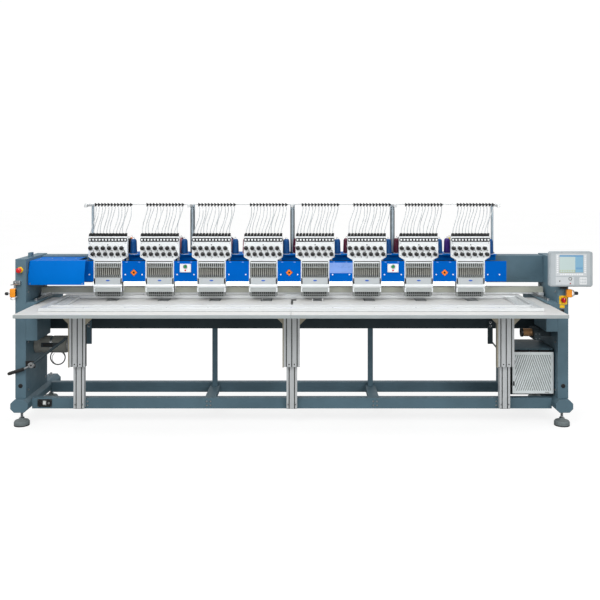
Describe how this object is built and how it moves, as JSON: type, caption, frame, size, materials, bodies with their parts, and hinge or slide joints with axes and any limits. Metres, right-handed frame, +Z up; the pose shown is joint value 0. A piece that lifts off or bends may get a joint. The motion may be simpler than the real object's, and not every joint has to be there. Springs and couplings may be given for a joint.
{
  "type": "embroidery machine",
  "caption": "Industrial multi-head embroidery machine with sliding needle cases, a border frame pantograph, a lift table and a control panel.",
  "frame": {"origin": "middle of the machine's footprint on the floor", "axes": "+X to the operator's right along the heads, +Y away from the operator, +Z up"},
  "size_m": [4.371, 1.2335, 1.668],
  "materials": {
    "frame_steel": "satin slate grey powder coat",
    "dark_steel": "dark slate powder coat",
    "cover_blue": "satin vivid blue sheet metal",
    "case_white": "satin light grey cast housing",
    "aluminium": "anodised extruded section",
    "bright_steel": "ground and polished",
    "black_plastic": "matt moulded",
    "table_white": "gloss white laminate over board",
    "led_white": "translucent diffuser",
    "tube_clear": "translucent polymer tube",
    "thread_blue": "wound embroidery thread",
    "panel_grey": "fine textured moulding",
    "filter_grey": "perforated filter panel",
    "belt_rubber": "matt toothed rubber",
    "signal_yellow": "gloss moulded",
    "signal_red": "gloss moulded",
    "button_green": "gloss moulded",
    "sensor_orange": "gloss moulded"
  },
  "bodies": {
    "frame": {"floor_beams": "frame_steel", "base_crossbars": "frame_steel", "column_left": "frame_steel", "column_right": "frame_steel", "bed_beam": "dark_steel", "bed_arms": "bright_steel", "upper_beam": "frame_steel", "head_arms": "dark_steel", "drive_cover": "cover_blue", "thread_tray": "cover_blue", "spool_pins": "case_white", "thread_cones": "thread_blue", "rail_frame": "aluminium", "thread_clips": "black_plastic", "thread_tubes": "tube_clear", "led_strips": "led_white", "inner_legs": "aluminium", "control_cabinet": "dark_steel", "drive_motors": "bright_steel", "drive_belt": "belt_rubber", "side_boxes": "frame_steel", "operator_boxes": "signal_yellow", "light_barriers": "sensor_orange", "pivot_brackets": "black_plastic"},
    "carriage": {"x_beam": "aluminium"},
    "border": {"border_frame": "aluminium"},
    "table": {"table_left": "table_white", "table_right": "table_white", "outer_legs": "aluminium"},
    "latch": {"table_latch": "black_plastic"},
    "cases": {"needle_cases": "case_white", "front_covers": "cover_blue", "colour_change_rod": "bright_steel", "tension_knobs": "black_plastic", "needle_bars": "bright_steel", "take_up_levers": "bright_steel"},
    "needles": {"active_needle_bars": "bright_steel"},
    "pressers": {"presser_feet": "bright_steel"},
    "take_ups": {"active_take_ups": "bright_steel"},
    "shaft": {"main_shaft": "bright_steel"},
    "motor_pulley": {"motor_pulley": "bright_steel"},
    "door": {"cabinet_door": "filter_grey"},
    "panel": {"control_panel": "panel_grey"},
    "estop": {"emergency_stop": "signal_red"},
    "switch": {"main_switch": "signal_red"},
    "hand_lever": {"handle_bar": "black_plastic"},
    "start_left": {"start_button_left": "button_green"},
    "start_right": {"start_button_right": "button_green"},
    "foot_fl": {"foot_front_left": "bright_steel"},
    "foot_fr": {"foot_front_right": "bright_steel"},
    "foot_rl": {"foot_rear_left": "bright_steel"},
    "foot_rr": {"foot_rear_right": "bright_steel"},
    "hook_1": {"rotary_hook_1": "bright_steel"},
    "hook_2": {"rotary_hook_2": "bright_steel"},
    "hook_3": {"rotary_hook_3": "bright_steel"},
    "hook_4": {"rotary_hook_4": "bright_steel"},
    "hook_5": {"rotary_hook_5": "bright_steel"},
    "hook_6": {"rotary_hook_6": "bright_steel"},
    "hook_7": {"rotary_hook_7": "bright_steel"},
    "hook_8": {"rotary_hook_8": "bright_steel"}
  },
  "joints": [
    {"name": "pantograph_y", "type": "slide", "parent": "frame", "child": "carriage", "axis": [0, 1, 0], "range_m": [0, 0.34]},
    {"name": "pantograph_x", "type": "slide", "parent": "carriage", "child": "border", "axis": [1, 0, 0], "range_m": [-0.11, 0.11]},
    {"name": "table_lift", "type": "slide", "parent": "frame", "child": "table", "axis": [0, 0, 1], "range_m": [-0.075, 0]},
    {"name": "table_latch_slide", "type": "slide", "parent": "table", "child": "latch", "axis": [0, 1, 0], "range_m": [-0.04, 0]},
    {"name": "colour_change", "type": "slide", "parent": "frame", "child": "cases", "axis": [1, 0, 0], "range_m": [-0.06, 0.105]},
    {"name": "needle_stroke", "type": "slide", "parent": "cases", "child": "needles", "axis": [0, 0, 1], "range_m": [-0.042, 0]},
    {"name": "presser_stroke", "type": "slide", "parent": "cases", "child": "pressers", "axis": [0, 0, 1], "range_m": [-0.034, 0]},
    {"name": "take_up_swing", "type": "hinge", "parent": "cases", "child": "take_ups", "pos_m": [-0.039, 0.024, 1.1], "axis": [1, 0, 0], "range_deg": [0, 25.5]},
    {"name": "main_shaft_spin", "type": "hinge", "parent": "frame", "child": "shaft", "pos_m": [-1.039, 0.15, 1.12], "axis": [1, 0, 0], "continuous": true},
    {"name": "motor_pulley_spin", "type": "hinge", "parent": "frame", "child": "motor_pulley", "pos_m": [-1.875, 0.02, 1.13], "axis": [1, 0, 0], "continuous": true},
    {"name": "cabinet_door_swing", "type": "hinge", "parent": "frame", "child": "door", "pos_m": [1.946, -0.108, 0.3825], "axis": [0, 0, 1], "range_deg": [0, 90]},
    {"name": "panel_swivel", "type": "hinge", "parent": "frame", "child": "panel", "pos_m": [1.997, -0.183, 1.075], "axis": [0, 0, 1], "range_deg": [-25, 25]},
    {"name": "emergency_stop_push", "type": "slide", "parent": "frame", "child": "estop", "axis": [0, 1, 0], "range_m": [0, 0.005]},
    {"name": "main_switch_turn", "type": "hinge", "parent": "frame", "child": "switch", "pos_m": [1.997, -0.186, 0.946], "axis": [0, 1, 0], "range_deg": [0, 90]},
    {"name": "hand_lever_swing", "type": "hinge", "parent": "frame", "child": "hand_lever", "pos_m": [-1.985, -0.191, 0.461], "axis": [0, 1, 0], "range_deg": [-15, 0]},
    {"name": "start_button_left_push", "type": "slide", "parent": "cases", "child": "start_left", "axis": [0, 1, 0], "range_m": [0, 0.003], "stiffness_N_per_m": 500},
    {"name": "start_button_right_push", "type": "slide", "parent": "cases", "child": "start_right", "axis": [0, 1, 0], "range_m": [0, 0.003], "stiffness_N_per_m": 500},
    {"name": "foot_fl_turn", "type": "hinge", "parent": "frame", "child": "foot_fl", "pos_m": [-2.072, -0.149, 0.1], "axis": [0, 0, 1], "range_deg": [-180, 180]},
    {"name": "foot_fr_turn", "type": "hinge", "parent": "frame", "child": "foot_fr", "pos_m": [1.994, -0.149, 0.1], "axis": [0, 0, 1], "range_deg": [-180, 180]},
    {"name": "foot_rl_turn", "type": "hinge", "parent": "frame", "child": "foot_rl", "pos_m": [-2.072, 0.55, 0.1], "axis": [0, 0, 1], "range_deg": [-180, 180]},
    {"name": "foot_rr_turn", "type": "hinge", "parent": "frame", "child": "foot_rr", "pos_m": [1.994, 0.55, 0.1], "axis": [0, 0, 1], "range_deg": [-180, 180]},
    {"name": "rotary_hook_1_spin", "type": "hinge", "parent": "frame", "child": "hook_1", "pos_m": [-1.439, 0.1, 0.866], "axis": [0, 1, 0], "continuous": true},
    {"name": "rotary_hook_2_spin", "type": "hinge", "parent": "frame", "child": "hook_2", "pos_m": [-1.039, 0.1, 0.866], "axis": [0, 1, 0], "continuous": true},
    {"name": "rotary_hook_3_spin", "type": "hinge", "parent": "frame", "child": "hook_3", "pos_m": [-0.639, 0.1, 0.866], "axis": [0, 1, 0], "continuous": true},
    {"name": "rotary_hook_4_spin", "type": "hinge", "parent": "frame", "child": "hook_4", "pos_m": [-0.239, 0.1, 0.866], "axis": [0, 1, 0], "continuous": true},
    {"name": "rotary_hook_5_spin", "type": "hinge", "parent": "frame", "child": "hook_5", "pos_m": [0.161, 0.1, 0.866], "axis": [0, 1, 0], "continuous": true},
    {"name": "rotary_hook_6_spin", "type": "hinge", "parent": "frame", "child": "hook_6", "pos_m": [0.561, 0.1, 0.866], "axis": [0, 1, 0], "continuous": true},
    {"name": "rotary_hook_7_spin", "type": "hinge", "parent": "frame", "child": "hook_7", "pos_m": [0.961, 0.1, 0.866], "axis": [0, 1, 0], "continuous": true},
    {"name": "rotary_hook_8_spin", "type": "hinge", "parent": "frame", "child": "hook_8", "pos_m": [1.361, 0.1, 0.866], "axis": [0, 1, 0], "continuous": true}
  ],
  "couplings": [
    {"joint": "presser_stroke", "follows": "needle_stroke", "ratio": 0.8},
    {"joint": "take_up_swing", "follows": "needle_stroke", "rad_per_m": -10.4},
    {"joint": "motor_pulley_spin", "follows": "main_shaft_spin", "ratio": 1.8333},
    {"joint": "rotary_hook_1_spin", "follows": "main_shaft_spin", "ratio": 2},
    {"joint": "rotary_hook_2_spin", "follows": "main_shaft_spin", "ratio": 2},
    {"joint": "rotary_hook_3_spin", "follows": "main_shaft_spin", "ratio": 2},
    {"joint": "rotary_hook_4_spin", "follows": "main_shaft_spin", "ratio": 2},
    {"joint": "rotary_hook_5_spin", "follows": "main_shaft_spin", "ratio": 2},
    {"joint": "rotary_hook_6_spin", "follows": "main_shaft_spin", "ratio": 2},
    {"joint": "rotary_hook_7_spin", "follows": "main_shaft_spin", "ratio": 2},
    {"joint": "rotary_hook_8_spin", "follows": "main_shaft_spin", "ratio": 2}
  ]
}
